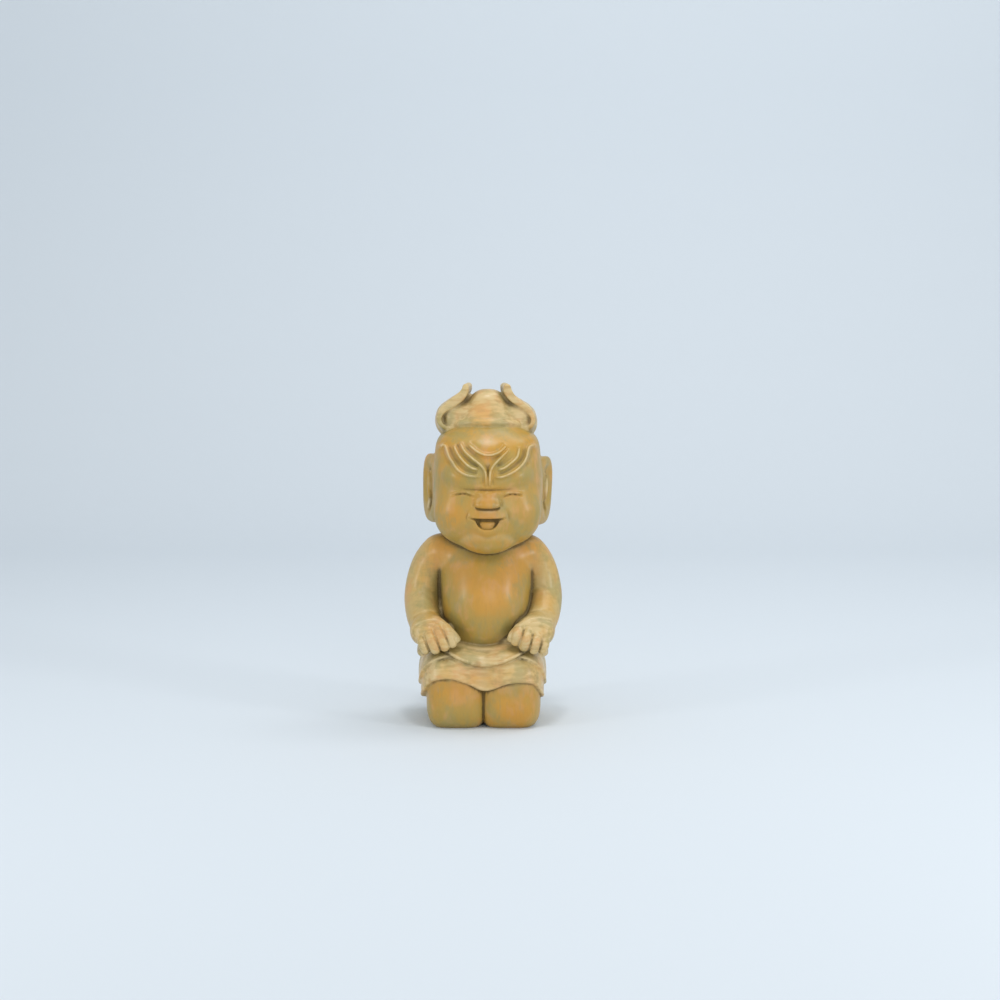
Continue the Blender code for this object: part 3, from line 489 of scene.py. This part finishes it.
RIGHT_CURL = [(24, 204.4, 1.5), (29.2, 204.6, 1.5), (33.6, 207.4, 1.6), (34.4, 212, 1.7),
              (31.8, 217, 1.9), (27, 221, 2.1), (21.2, 225, 2.5), (17.5, 229.6, 2.9), (16.6, 233, 2.7)]
RIBBON_EDGE = 0.9
RIBBON_GROOVE = 0.7


def ribbon(path, front, back, flare, blend=2.0):
    """A band on edge. Its front edge follows (x, z, half thickness), and it widens as it runs back."""
    curl = smooth_path(path)
    line, halves = curl[:, :2], curl[:, 2]
    middle = line.mean(0)

    def widened(across, depth):
        """What the loop's width and its lower part grow by at a depth behind the front edge."""
        lower = ramp(middle[1] - across[:, 1], -2, 4)
        return np.stack([1 + flare[0] * depth, 1 + flare[1] * depth * lower], 1)

    def gap(points):
        depth = np.clip(points[:, 1] - front, 0, back - front)
        across = points[:, [0, 2]]
        flat = middle + (across - middle) / widened(across, depth)
        near, along = path_gap(flat, line)
        groove = RIBBON_GROOVE * np.exp(-(((points[:, 1] - (front + back) / 2) / 3.2) ** 2))
        side = near - np.interp(along, np.linspace(0, 1, len(halves)), halves) + RIBBON_EDGE + groove
        face = np.abs(points[:, 1] - (front + back) / 2) - (back - front) / 2 + RIBBON_EDGE
        outside = np.hypot(np.clip(side, 0, None), np.clip(face, 0, None))
        return outside + np.minimum(np.maximum(side, face), 0) - RIBBON_EDGE

    def shell(clay):
        depth = np.full(len(line), back - front)
        far = middle + (line - middle) * widened(line, depth)
        for i in range(len(line) - 1):
            hull_of_balls(clay, [(Vector((run[j][0], y, run[j][1])), halves[j])
                                 for run, y in ((line, front + halves[i]), (far, back - halves[i]))
                                 for j in (i, i + 1)])

    grown = (line - middle) * (1 + max(flare) * (back - front)) + middle
    reach = halves.max()
    low = np.array([grown[:, 0].min() - reach, front, grown[:, 1].min() - reach])
    high = np.array([grown[:, 0].max() + reach, back, grown[:, 1].max() + reach])
    return Form(gap, shell, blend, low, high)


RIBBONS = [ribbon(LEFT_CURL, -9, 14, (0.008, 0.021)), ribbon(RIGHT_CURL, -9, 14, (0.008, 0.021))]

# The casting
# All the forms are pressed into one skin of even cells, which is settled on their soft blend until the hems
# and furrows are crisp. The face and hands are worked finer than the rest. The foot of the casting is
# scraped flat, as it is before a figure is fired.
FIGURE_HEIGHT = 0.236
UNIT = FIGURE_HEIGHT / 236.0
ROUGH_CELL = 1.4
EVEN_CELLS = (1.1, 0.8)
SKIN_TRIANGLES = 190000
FEELER = 0.05
LONGEST_STEP = 2.5
CLOSE_ENOUGH = 0.008
EVENING_PASSES = 3
LINE_WIDTH = 1.0
CREASE_REACH = 1.4
SHELTER_REACH = 7.0
TOPKNOT_START = (204, 207)

# The face, the hands and the groove between the knees, each given by two corners of a box.
FINE_PLACES = [
    ((-33, -60, 130), (40, -24, 199)),
    ((-48, -60, 50), (-14, -27, 78)),
    ((15, -60, 49), (48, -27, 78)),
    ((-3, -50, 0), (3.5, -25, 40)),
]

# Places where the orange slip is rubbed on thicker, such as the nose, lips, shoulders and belly, and how far
# each one spreads.
FLUSHED = [
    ((-19, -36, 149), 10), ((27, -34, 153), 9), ((3, -42, 160), 7), ((3, -42, 147), 8), ((-6, -38, 134), 8),
    ((3, -38, 188), 5), ((-30, -8, 118), 12), ((30, -8, 117), 12), ((6, -34, 92), 15), ((-14, -30, 104), 10),
    ((20, -26, 105), 9), ((-18, -42, 28), 11), ((22, -42, 14), 12), ((-4, -36, 36), 10), ((3, -18, 218), 9),
]


def figure_gap(points):
    """Distance from the whole figure's skin, below 0 inside it."""
    groups = [
        (HEAD_FORMS, head_gap, 1.0),
        (BODY, body_gap, 1.0),
        (DRAPE, cloth_gap, 1.0),
        (LEGS, leg_gap, 0.5),
        (TOPKNOT_FORMS, lambda near: pressed(near, TOPKNOT_FORMS), 0.8),
        ([WAIST_ROLL], WAIST_ROLL.gap, WAIST_ROLL.blend),
    ]
    groups += [([parts[0]], lambda near, parts=parts: ear_gap(near, parts), 2.0) for parts in EARS]
    groups += [([curl], curl.gap, curl.blend) for curl in RIBBONS]
    skin = np.full(len(points), CLOSE)
    for forms, gap, blend in groups:
        skin = soft_min(skin, close_to(points, forms, gap), blend)
    return skin


def remade(mesh, kind, **settings):
    """The mesh after one modifier."""
    thing = bpy.data.objects.new("rough", mesh)
    bpy.context.scene.collection.objects.link(thing)
    modifier = thing.modifiers.new(kind.title(), kind)
    for setting, value in settings.items():
        setattr(modifier, setting, value)
    graph = bpy.context.evaluated_depsgraph_get()
    made = bpy.data.meshes.new_from_object(thing.evaluated_get(graph))
    bpy.data.objects.remove(thing)
    return made


def rough_skin():
    """One closed skin round all the forms, as a mesh of even cells."""
    clay = bmesh.new()
    ears = [form for plate, _, ridge in EARS for form in (plate, ridge)]
    for form in [*HEAD_FORMS, *ears, *TOPKNOT_FORMS, *RIBBONS, *BODY, *LEGS, *DRAPE, WAIST_ROLL]:
        form.shell(clay)
    mesh = bpy.data.meshes.new("rough clay")
    clay.to_mesh(mesh)
    clay.free()
    return remade(mesh, "REMESH", mode="VOXEL", voxel_size=ROUGH_CELL)


def places_of(mesh):
    points = np.empty(len(mesh.vertices) * 3, np.float32)
    mesh.vertices.foreach_get("co", points)
    return points.reshape(-1, 3).astype(float)


def settle(mesh, rounds):
    """Moves the skin's points onto the figure's own surface."""
    points = places_of(mesh)
    for _ in range(rounds):
        gap = figure_gap(points)
        off = np.abs(gap) > CLOSE_ENOUGH
        there, gap = points[off], gap[off]
        slope = np.stack([figure_gap(there + step) - gap for step in np.eye(3) * FEELER], 1) / FEELER
        steep = np.maximum((slope**2).sum(1), 0.3)
        points[off] -= (np.clip(gap, -LONGEST_STEP, LONGEST_STEP) / steep)[:, None] * slope
    mesh.vertices.foreach_set("co", points.ravel().astype(np.float32))
    mesh.update()


def relax(mesh, passes, finer=False):
    """Evens out the spacing of the skin's points, after it halves its cells in the fine places if asked."""
    skin = bmesh.new()
    skin.from_mesh(mesh)
    if finer:
        fine = set()
        for face in skin.faces:
            x, y, z = face.calc_center_median()
            if any(a[0] < x < b[0] and a[1] < y < b[1] and a[2] < z < b[2] for a, b in FINE_PLACES):
                fine.update(face.edges)
        bmesh.ops.subdivide_edges(skin, edges=list(fine), cuts=1, use_grid_fill=True)
    for _ in range(passes):
        bmesh.ops.smooth_vert(skin, verts=skin.verts, factor=0.5,
                              use_axis_x=True, use_axis_y=True, use_axis_z=True)
    skin.to_mesh(mesh)
    skin.free()


def note(mesh, name, values):
    """Keeps a value at each of the skin's points for the finish to read, evened out over its neighbours."""
    ends = np.empty(len(mesh.edges) * 2, np.int32)
    mesh.edges.foreach_get("vertices", ends)
    ends = np.concatenate([ends.reshape(-1, 2), ends.reshape(-1, 2)[:, ::-1]])
    count = np.bincount(ends[:, 0], minlength=len(values)) + 1
    for _ in range(EVENING_PASSES):
        values = (values + np.bincount(ends[:, 0], values[ends[:, 1]], len(values))) / count
    kept = mesh.attributes.new(name, "FLOAT", "POINT")
    kept.data.foreach_set("value", np.clip(values, 0, 1).astype(np.float32))


# The finish darkens these meeting lines as painted shade, together with the patina that gathers in them.
def dark_lines(points, skin):
    """How near each point lies to a line where two forms meet sharply, from 0 to 1."""
    meetings = [[form.gap for form in KNEES], [leg_gap, cloth_gap], [head_gap, body_gap]]
    for arm, hand in zip(ARMS, (LEFT_HAND, RIGHT_HAND)):
        sleeve = [arm, *hand]
        meetings.append([lambda near, sleeve=sleeve: pressed(near, sleeve), trunk_gap])
    lines = np.zeros(len(points))
    for first, second in meetings:
        a, b = first(points), second(points)
        sharp = ramp(np.minimum(a, b) - skin, 0.9, 0.5)
        lines = np.maximum(lines, sharp * np.exp(-(((a - b) / LINE_WIDTH) ** 2)))
    return lines


def paleness(points, skin):
    """How pale the slip is, from 0 to 1: full on the topknot, cloth and hands, and half on the arms."""
    pale = ramp(points[:, 2] + 0.1 * points[:, 1], *TOPKNOT_START)
    parts = [(DRAPE, cloth_gap, 0.2, 0.9, 1.0), ([WAIST_ROLL], WAIST_ROLL.gap, 0.2, 0.9, 1.0)]
    parts += [(hand, lambda near, hand=hand: pressed(near, hand), 0.3, 2.5, 1.0)
              for hand in (LEFT_HAND, RIGHT_HAND)]
    parts += [([arm], arm.gap, 0.3, 4, 0.5) for arm in ARMS]
    for forms, gap, start, end, share in parts:
        pale = np.maximum(pale, share - share * ramp(close_to(points, forms, gap) - skin, start, end))
    return pale


def note_places(mesh):
    """Notes creases, drawn lines, sheltered places, ridges, pale clay and orange places for the finish."""
    points = places_of(mesh)
    outward = np.empty(len(points) * 3, np.float32)
    mesh.vertex_normals.foreach_get("vector", outward)
    outward = outward.reshape(-1, 3)
    skin = figure_gap(points)
    above = figure_gap(points + outward * CREASE_REACH) / CREASE_REACH
    below = figure_gap(points - outward * CREASE_REACH) / CREASE_REACH
    # Openness at a longer reach: the finish darkens the enclosed places as painted shade, with patina in the
    # hollows.
    further = figure_gap(points + outward * SHELTER_REACH) / SHELTER_REACH
    relief = face_relief(points)
    hollow, tongue = mouth_gaps(points)
    # The inside of the mouth and the creases are noted for the finish's painted shade, with the patina that
    # gathers in them; so are the meeting lines and the flanks of the drawn crests.
    inside = 1.5 * (hollow < 0.6) * ramp(tongue, 0.0, 0.4) * ramp(points[:, 1], -42, -40)
    note(mesh, "crease", np.maximum(1 - above, inside))
    note(mesh, "lines", np.maximum(dark_lines(points, skin), 0.5 * ramp(-relief, 0.12, 0.6)))
    note(mesh, "hollow_shade_and_patina", 1 - further)
    # Ridges and the crests of the furrows are noted for the finish's painted highlight, which also stands
    # for wear on the edges.
    note(mesh, "ridge", np.maximum(1 + below, relief * 0.25) * ramp(hollow, 0.3, 2))
    note(mesh, "pale", paleness(points, skin))
    flush = sum(np.exp(-((points - centre) ** 2).sum(1) / reach**2) for centre, reach in FLUSHED)
    note(mesh, "flush", flush)


def stand_flat(mesh):
    """Cuts the underside flat at the ground, scales the figure to its real height and centres it."""
    skin = bmesh.new()
    skin.from_mesh(mesh)
    cut = bmesh.ops.bisect_plane(skin, geom=[*skin.verts, *skin.edges, *skin.faces], plane_co=(0, 0, 0),
                                 plane_no=(0, 0, -1), clear_outer=True, dist=1e-4)
    rim = [edge for edge in cut["geom_cut"] if isinstance(edge, bmesh.types.BMEdge)]
    bmesh.ops.holes_fill(skin, edges=rim, sides=0)
    low = [min(vert.co[axis] for vert in skin.verts) for axis in range(3)]
    high = [max(vert.co[axis] for vert in skin.verts) for axis in range(3)]
    centre = Vector(((low[0] + high[0]) / 2, (low[1] + high[1]) / 2, 0))
    bmesh.ops.translate(skin, verts=skin.verts, vec=-centre)
    bmesh.ops.scale(skin, verts=skin.verts, vec=Vector((UNIT, UNIT, UNIT)))
    bmesh.ops.triangulate(skin, faces=[face for face in skin.faces if len(face.verts) > 4])
    skin.to_mesh(mesh)
    skin.free()


def cast_figure():
    mesh = rough_skin()
    settle(mesh, 3)
    for cell in EVEN_CELLS:
        mesh = remade(mesh, "REMESH", mode="VOXEL", voxel_size=cell)
        settle(mesh, 2)
    relax(mesh, 1, finer=True)
    settle(mesh, 2)
    relax(mesh, 1)
    triangles = sum(len(face.vertices) - 2 for face in mesh.polygons)
    mesh = remade(mesh, "DECIMATE", ratio=min(1, SKIN_TRIANGLES / triangles), use_collapse_triangulate=True)
    note_places(mesh)
    stand_flat(mesh)
    mesh.name = "figure_casting"
    mesh.shade_smooth()
    thing = bpy.data.objects.new("figure_casting", mesh)
    bpy.context.scene.collection.objects.link(thing)
    return thing


casting = cast_figure()
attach(casting, "root")
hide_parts("figure")

# The finish
# Ochre slip rubbed over brown clay: orange and rose where it is thick and grey-green where it is thin.
# The creases and sheltered places are made dark as painted shade, together with the patina that gathers
# there, and the ridges are made cream as a painted highlight, together with wear on the edges. The slip
# is put on with vertical strokes of a soft brush, and waxed to a satin shine.


class Wire:
    """A socket whose maths is written as Python. Each operator adds a Math node to its paint."""

    def __init__(self, paint, socket):
        self.paint, self.socket = paint, socket

    def worked(self, operation, first, second):
        return self.paint.node("ShaderNodeMath", {"operation": operation}, {0: first, 1: second})

    def __add__(self, other):
        return self.worked("ADD", self, other)

    def __sub__(self, other):
        return self.worked("SUBTRACT", self, other)

    def __rsub__(self, other):
        return self.worked("SUBTRACT", other, self)

    def __mul__(self, other):
        return self.worked("MULTIPLY", self, other)

    __radd__ = __add__
    __rmul__ = __mul__


class Paint:
    """A material and the nodes that it is made of."""

    def __init__(self, name):
        self.material = bpy.data.materials.new(name)
        self.material.use_nodes = True
        self.tree = self.material.node_tree
        self.shader = self.tree.nodes["Principled BSDF"]

    def node(self, kind, settings, sockets, output=0):
        """Adds a node: its settings first, then the value or wire of each socket. Gives one output."""
        made = self.tree.nodes.new(kind)
        for setting, value in settings.items():
            setattr(made, setting, value)
        for name, value in sockets.items():
            self.plug(made.inputs[name], value)
        return Wire(self, made.outputs[output])

    def plug(self, socket, value):
        if isinstance(value, Wire):
            self.tree.links.new(value.socket, socket)
        else:
            socket.default_value = value

    def noise(self, where, scale, detail=3.0, roughness=0.55):
        sockets = {"Vector": where, "Scale": scale, "Detail": detail, "Roughness": roughness}
        return self.node("ShaderNodeTexNoise", {}, sockets)

    def stretched(self, where, shares, start=(0, 0, 0)):
        return self.node("ShaderNodeMapping", {}, {"Vector": where, "Location": start, "Scale": shares})

    def fade(self, value, start, end):
        """0 at start and 1 at end, eased."""
        sockets = {"Value": value, "From Min": start, "From Max": end}
        return self.node("ShaderNodeMapRange", {"interpolation_type": "SMOOTHSTEP"}, sockets)

    def mix(self, share, first, second):
        return self.node("ShaderNodeMix", {"data_type": "RGBA"}, {0: share, 6: first, 7: second}, output=2)

    def noted(self, name):
        return self.node("ShaderNodeAttribute", {"attribute_name": name}, {}, output=2)


def ink(red, green, blue):
    """A colour from the 0 to 255 of a paint chart, made linear."""
    shares = [value / 255 for value in (red, green, blue)]
    linear = [share / 12.92 if share <= 0.04045 else ((share + 0.055) / 1.055) ** 2.4 for share in shares]
    return (*linear, 1.0)


OCHRE = ink(172, 141, 64)
GOLD = ink(190, 142, 50)
ROSE = ink(208, 156, 100)
SAGE = ink(144, 140, 88)
ORANGE = ink(202, 136, 54)
CREAM = ink(212, 187, 136)
STRAW = ink(210, 174, 110)
# A cream for the ridges: a painted highlight, together with wear on the edges.
RIDGE_HIGHLIGHT_AND_WEAR = ink(220, 196, 146)
# A dark brown for the creases and meeting lines: painted shade, together with patina.
UMBER = ink(70, 55, 26)
# An olive for the sheltered places, as painted shade with patina, and for the brush streaks.
OLIVE = ink(128, 112, 58)

slip = Paint("ochre slip on clay")
place = slip.node("ShaderNodeTexCoord", {}, {}, output=3)
# The notes read here carry painted shade in the creases, lines and sheltered places, and a painted highlight
# on the ridges, each together with patina or wear.
crease = slip.noted("crease")
lines = slip.noted("lines")
hollow_shade_and_patina = slip.noted("hollow_shade_and_patina")
ridge = slip.noted("ridge")
pale = slip.noted("pale")
flush = slip.noted("flush")

# A noise scale is in spots to a metre: patches 10 to 20 mm wide, strokes of about 2 mm and a fine grain.
broad = slip.noise(place, 50.0, 2.0, 0.5)
cloud = slip.noise(slip.stretched(place, (1, 1, 0.8), (0.31, 0.17, 0.05)), 92.0, 2.0, 0.5)
veil = slip.noise(slip.stretched(place, (1, 1, 0.7), (0.07, 0.43, 0.29)), 70.0, 3.0, 0.55)
down = slip.noise(slip.stretched(place, (1, 1, 0.25)), 480.0, 2.0, 0.55)
across = slip.noise(slip.stretched(place, (0.22, 1, 1)), 420.0, 2.0, 0.55)
stroke = down * (1 - pale) + across * pale
grain = slip.noise(place, 1500.0, 2.0, 0.6)

thick = slip.fade(broad * 0.7 + stroke * 0.3 + flush * 0.13, 0.44, 0.64)
bare_skin = slip.mix(thick, OCHRE, GOLD)
bare_skin = slip.mix(slip.fade(cloud * 0.7 + stroke * 0.3, 0.50, 0.66) * 0.5, bare_skin, ROSE)
cloth_skin = slip.mix(thick, CREAM, STRAW)
cloth_skin = slip.mix(slip.fade(cloud * 0.6 + stroke * 0.4, 0.48, 0.64) * 0.65, cloth_skin, ROSE)
colour = slip.mix(pale * 0.8, bare_skin, cloth_skin)
colour = slip.mix(flush * 0.4, colour, ORANGE)
thin = slip.fade(veil * 0.7 + stroke * 0.3 - flush * 0.1, 0.45, 0.61)
colour = slip.mix(thin * 0.5, colour, SAGE)
# Painted shade: the sheltered places, such as under the chin, are made olive, together with patina in the
# hollows.
colour = slip.mix(slip.fade(hollow_shade_and_patina, 0.3, 0.95) * 0.45, colour, OLIVE)
# Painted highlight: the ridges and crests are made cream, together with wear on the edges.
colour = slip.mix(slip.fade(ridge, 0.10, 0.40) * 0.65, colour, RIDGE_HIGHLIGHT_AND_WEAR)
# Painted shade: the mouth's inside, the creases, the meeting lines and the flanks of the crests are made
# dark brown, with the patina that gathers there.
crease_shade_and_patina = slip.fade(crease * 0.9 + lines * 0.7, 0.12, 0.60)
colour = slip.mix(crease_shade_and_patina * 0.78, colour, UMBER)
colour = slip.mix(slip.fade(stroke, 0.35, 0.7) * 0.12, colour, OLIVE)
slip.plug(slip.shader.inputs["Base Color"], colour)
slip.plug(slip.shader.inputs["Roughness"], 0.34 + 0.14 * veil + 0.08 * stroke + 0.35 * crease_shade_and_patina)
slip.plug(slip.shader.inputs["Coat Weight"], 0.28 * (1 - crease_shade_and_patina))
height = cloud * 1.6 + stroke * 0.35 + grain * 0.25
slip.plug(slip.shader.inputs["Normal"],
          slip.node("ShaderNodeBump", {}, {"Strength": 0.5, "Distance": 0.0005, "Height": height}))
slip.shader.inputs["Specular IOR Level"].default_value = 0.38
slip.shader.inputs["Coat Roughness"].default_value = 0.25
casting.data.materials.append(slip.material)

# The studio
# A seamless sweep of pale paper curves up behind the figure, with a light of its own. A softbox stands at
# each side, one by the camera and one overhead, and the room itself is evenly bright.
PAPER_WIDTH = 4.4
PAPER_FRONT = -1.2
PAPER_BACK = 0.9
PAPER_BEND = 0.6
PAPER_TOP = 2.2


def paper_sweep():
    sweep = bmesh.new()
    bend = [(PAPER_BACK + PAPER_BEND * math.sin(a), PAPER_BEND - PAPER_BEND * math.cos(a))
            for a in np.radians(np.linspace(10, 90, 9))]
    profile = [(PAPER_FRONT, 0), (PAPER_BACK, 0), *bend, (PAPER_BACK + PAPER_BEND, PAPER_TOP)]
    line = [sweep.verts.new((-PAPER_WIDTH / 2, y, z)) for y, z in profile]
    edges = [sweep.edges.new(pair) for pair in zip(line, line[1:])]
    made = bmesh.ops.extrude_edge_only(sweep, edges=edges)
    moved = [item for item in made["geom"] if isinstance(item, bmesh.types.BMVert)]
    bmesh.ops.translate(sweep, verts=moved, vec=Vector((PAPER_WIDTH, 0, 0)))
    bmesh.ops.recalc_face_normals(sweep, faces=sweep.faces)
    mesh = bpy.data.meshes.new("paper_sweep")
    sweep.to_mesh(mesh)
    sweep.free()
    if mesh.polygons[0].normal.z < 0:
        mesh.flip_normals()
    mesh.shade_smooth()
    thing = bpy.data.objects.new("paper_sweep", mesh)
    bpy.context.scene.collection.objects.link(thing)
    return thing


sweep = paper_sweep()
paper = Paint("pale paper")
paper.shader.inputs["Base Color"].default_value = ink(216, 223, 229)
paper.shader.inputs["Roughness"].default_value = 0.9
paper.shader.inputs["Specular IOR Level"].default_value = 0.1
sweep.data.materials.append(paper.material)

room = bpy.data.worlds.new("bright room")
room.use_nodes = True
room.node_tree.nodes["Background"].inputs["Color"].default_value = (0.93, 0.97, 1.0, 1.0)
room.node_tree.nodes["Background"].inputs["Strength"].default_value = 0.70
bpy.context.scene.world = room
bpy.context.scene.view_settings.view_transform = "Standard"


def softbox(name, place, aim, size, power):
    lamp = bpy.data.lights.new(name, "AREA")
    lamp.shape = "RECTANGLE"
    lamp.size, lamp.size_y = size
    lamp.energy = power
    thing = bpy.data.objects.new(name, lamp)
    thing.location = place
    thing.rotation_euler = (Vector(aim) - Vector(place)).to_track_quat("-Z", "Y").to_euler()
    bpy.context.scene.collection.objects.link(thing)


CHEST = (0, 0, 0.13)
softbox("softbox_right", (0.9, -0.6, 0.40), CHEST, (0.17, 0.28), 2.3)
softbox("softbox_left", (-0.9, -0.6, 0.38), CHEST, (0.17, 0.28), 1.8)
softbox("softbox_top", (0.0, -0.3, 1.2), CHEST, (0.12, 0.12), 2.2)
softbox("softbox_paper", (0.5, 0.2, 1.5), (0.15, 1.4, 0.25), (0.9, 0.5), 6.5)
softbox("softbox_front", (0.25, -1.5, 0.45), CHEST, (0.6, 0.5), 3.2)

# The camera stands a little above the figure's middle, as in the photograph.
CAMERA_AIM = Vector((0.0118, -0.02, 0.1562))
CAMERA_AWAY = 1.34
lens = bpy.data.cameras.new("camera")
lens.lens = 70
lens.sensor_width = 36
camera = bpy.data.objects.new("camera", lens)
camera.location = CAMERA_AIM + Vector((0, -math.cos(VIEW_RISE), math.sin(VIEW_RISE))) * CAMERA_AWAY
camera.rotation_euler = (math.pi / 2 - VIEW_RISE, 0, 0)
bpy.context.scene.collection.objects.link(camera)
bpy.context.scene.camera = camera
